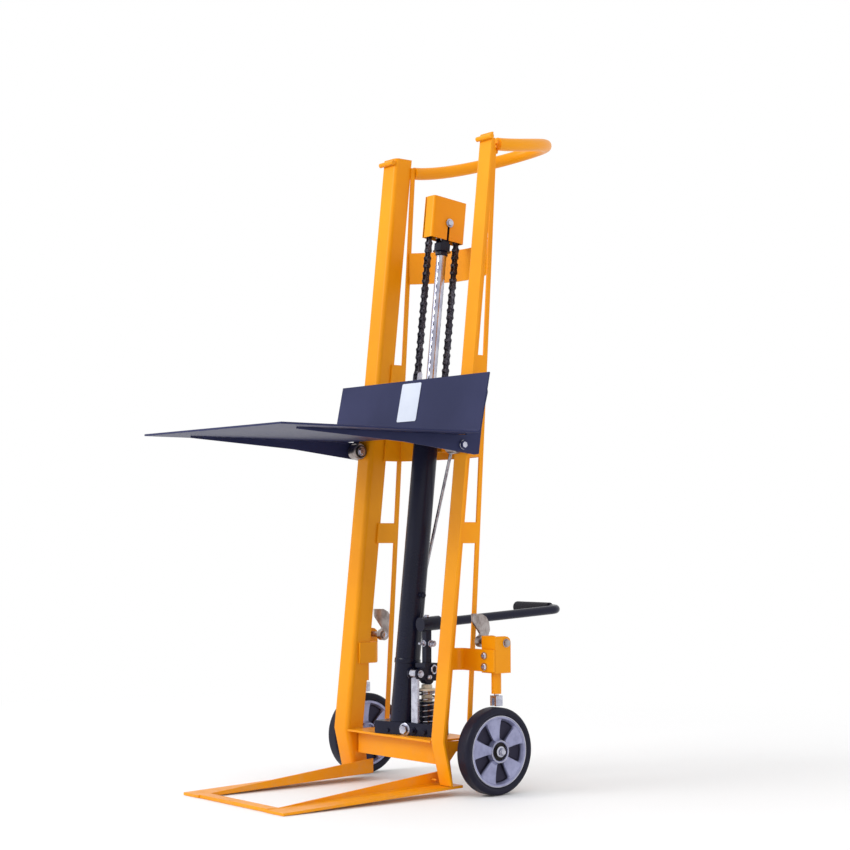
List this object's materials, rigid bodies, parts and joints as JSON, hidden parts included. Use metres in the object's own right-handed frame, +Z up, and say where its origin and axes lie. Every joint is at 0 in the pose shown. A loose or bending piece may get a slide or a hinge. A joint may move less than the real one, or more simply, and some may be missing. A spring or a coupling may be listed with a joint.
{
  "type": "manual platform stacker",
  "caption": "Hand-pushed platform stacker with a leaning two-post mast, foot-pumped hydraulic ram, chain lift, load platform and braked rear wheels.",
  "frame": {"origin": "on the floor under the middle of the overall box", "axes": "+Z up, -Y towards the load platform, +Y towards the handle, X across the machine"},
  "size_m": [0.571, 1.022, 1.6072],
  "materials": {
    "orange_paint": "glossy powder coat",
    "slate_paint": "semi-gloss powder coat",
    "black_paint": "semi-gloss black",
    "chrome": "polished",
    "steel": "zinc plated",
    "chain_steel": "oiled dark steel",
    "cast_aluminium": "cast",
    "tyre_rubber": "matte",
    "grip_rubber": "matte",
    "cream_plastic": "matte",
    "white_label": "matte"
  },
  "bodies": {
    "frame": {"mast_post_right": "orange_paint", "mast_post_left": "orange_paint", "rear_strut_right": "orange_paint", "rear_strut_left": "orange_paint", "handle_bow": "orange_paint", "upper_strap": "orange_paint", "lower_strap": "orange_paint", "base_shelf": "orange_paint", "cross_plate": "orange_paint", "axle_bracket_right": "orange_paint", "axle_bracket_left": "orange_paint", "axle": "steel", "axle_nut_right": "chrome", "axle_nut_left": "chrome", "leg_right": "orange_paint", "leg_left": "orange_paint", "front_bar": "orange_paint", "brake_strap_right": "orange_paint", "brake_strap_left": "orange_paint", "brake_housing_right": "orange_paint", "brake_housing_left": "orange_paint", "pump_base": "black_paint", "base_plug": "chrome", "cylinder": "black_paint", "gland": "black_paint", "pump_barrel": "black_paint", "pump_pivot_bracket": "steel", "pump_spring": "steel", "chain_fixed_run": "chain_steel"},
    "ram": {"piston_rod": "chrome", "rod_clevis": "black_paint", "pulley_pin": "chrome", "chain_cover_shell": "orange_paint", "chain_cover_back": "orange_paint", "chain_over_pulley": "chain_steel"},
    "pulley": {"chain_pulley": "steel"},
    "carriage": {"platform": "slate_paint", "side_arm_right": "slate_paint", "side_arm_left": "slate_paint", "chain_hook": "slate_paint", "plain_label": "white_label", "chain_lift_run": "chain_steel"},
    "roller_low_right": {"roller_low_right": "steel"},
    "roller_low_left": {"roller_low_left": "steel"},
    "roller_high_right": {"roller_high_right": "steel"},
    "roller_high_left": {"roller_high_left": "steel"},
    "wheel_right": {"wheel_tyre_right": "tyre_rubber", "wheel_hub_right": "cast_aluminium"},
    "brake_lever_right": {"brake_lever_right": "steel"},
    "brake_shoe_right": {"brake_shoe_right": "steel"},
    "wheel_left": {"wheel_tyre_left": "tyre_rubber", "wheel_hub_left": "cast_aluminium"},
    "brake_lever_left": {"brake_lever_left": "steel"},
    "brake_shoe_left": {"brake_shoe_left": "steel"},
    "pedal": {"pump_lever": "black_paint", "pedal_tube": "black_paint", "pedal_grip": "grip_rubber"},
    "plunger": {"pump_plunger": "cream_plastic"},
    "release": {"release_rod": "steel"}
  },
  "joints": [
    {"name": "mast_lift", "type": "slide", "parent": "frame", "child": "ram", "axis": [0, 0.1084, 0.9941], "range_m": [-0.345, 0.28], "deforming": ["chain_fixed_run"]},
    {"name": "carriage_slide", "type": "slide", "parent": "ram", "child": "carriage", "axis": [0, 0.1084, 0.9941], "range_m": [-0.345, 0.28], "deforming": ["chain_lift_run"]},
    {"name": "pulley_turn", "type": "hinge", "parent": "ram", "child": "pulley", "pos_m": [0, 0.16651, 1.36575], "axis": [1, 0, 0], "continuous": true},
    {"name": "roller_low_right_turn", "type": "hinge", "parent": "carriage", "child": "roller_low_right", "pos_m": [0.189, 0.03942, 0.80522], "axis": [1, 0, 0], "continuous": true},
    {"name": "roller_low_left_turn", "type": "hinge", "parent": "carriage", "child": "roller_low_left", "pos_m": [-0.189, 0.03942, 0.80522], "axis": [1, 0, 0], "continuous": true},
    {"name": "roller_high_right_turn", "type": "hinge", "parent": "carriage", "child": "roller_high_right", "pos_m": [0.189, 0.10052, 0.93939], "axis": [1, 0, 0], "continuous": true},
    {"name": "roller_high_left_turn", "type": "hinge", "parent": "carriage", "child": "roller_high_left", "pos_m": [-0.189, 0.10052, 0.93939], "axis": [1, 0, 0], "continuous": true},
    {"name": "wheel_right_turn", "type": "hinge", "parent": "frame", "child": "wheel_right", "pos_m": [0.251, 0.107, 0.1], "axis": [1, 0, 0], "continuous": true},
    {"name": "wheel_left_turn", "type": "hinge", "parent": "frame", "child": "wheel_left", "pos_m": [-0.251, 0.107, 0.1], "axis": [1, 0, 0], "continuous": true},
    {"name": "pedal_push", "type": "hinge", "parent": "frame", "child": "pedal", "pos_m": [0.062, 0.024, 0.27], "axis": [1, 0, 0], "range_deg": [-20, 0], "stiffness_Nm_per_rad": 30, "springref_deg": 20.05},
    {"name": "plunger_stroke", "type": "slide", "parent": "frame", "child": "plunger", "axis": [0, 0, 1], "range_m": [-0.0125, 0], "deforming": ["pump_spring"]},
    {"name": "brake_lever_right_press", "type": "hinge", "parent": "frame", "child": "brake_lever_right", "pos_m": [0.23, 0.1197, 0.3478], "axis": [1, 0, 0], "range_deg": [0, 32]},
    {"name": "brake_lever_left_press", "type": "hinge", "parent": "frame", "child": "brake_lever_left", "pos_m": [-0.23, 0.1197, 0.3478], "axis": [1, 0, 0], "range_deg": [0, 32]},
    {"name": "brake_shoe_right_press", "type": "slide", "parent": "frame", "child": "brake_shoe_right", "axis": [0, 0, -1], "range_m": [0, 0.0038]},
    {"name": "brake_shoe_left_press", "type": "slide", "parent": "frame", "child": "brake_shoe_left", "axis": [0, 0, -1], "range_m": [0, 0.0038]},
    {"name": "release_pull", "type": "slide", "parent": "frame", "child": "release", "axis": [0.3264, 0, 0.9452], "range_m": [0, 0.012], "stiffness_N_per_m": 900, "springref_m": -0.006}
  ],
  "couplings": [
    {"joint": "carriage_slide", "follows": "mast_lift", "ratio": 1},
    {"joint": "pulley_turn", "follows": "mast_lift", "rad_per_m": -23.364},
    {"joint": "roller_low_right_turn", "follows": "mast_lift", "rad_per_m": -100},
    {"joint": "roller_high_right_turn", "follows": "mast_lift", "rad_per_m": 100},
    {"joint": "brake_shoe_right_press", "follows": "brake_lever_right_press", "m_per_rad": 0.005},
    {"joint": "roller_low_left_turn", "follows": "mast_lift", "rad_per_m": -100},
    {"joint": "roller_high_left_turn", "follows": "mast_lift", "rad_per_m": 100},
    {"joint": "brake_shoe_left_press", "follows": "brake_lever_left_press", "m_per_rad": 0.005},
    {"joint": "plunger_stroke", "follows": "pedal_push", "m_per_rad": 0.0344}
  ]
}
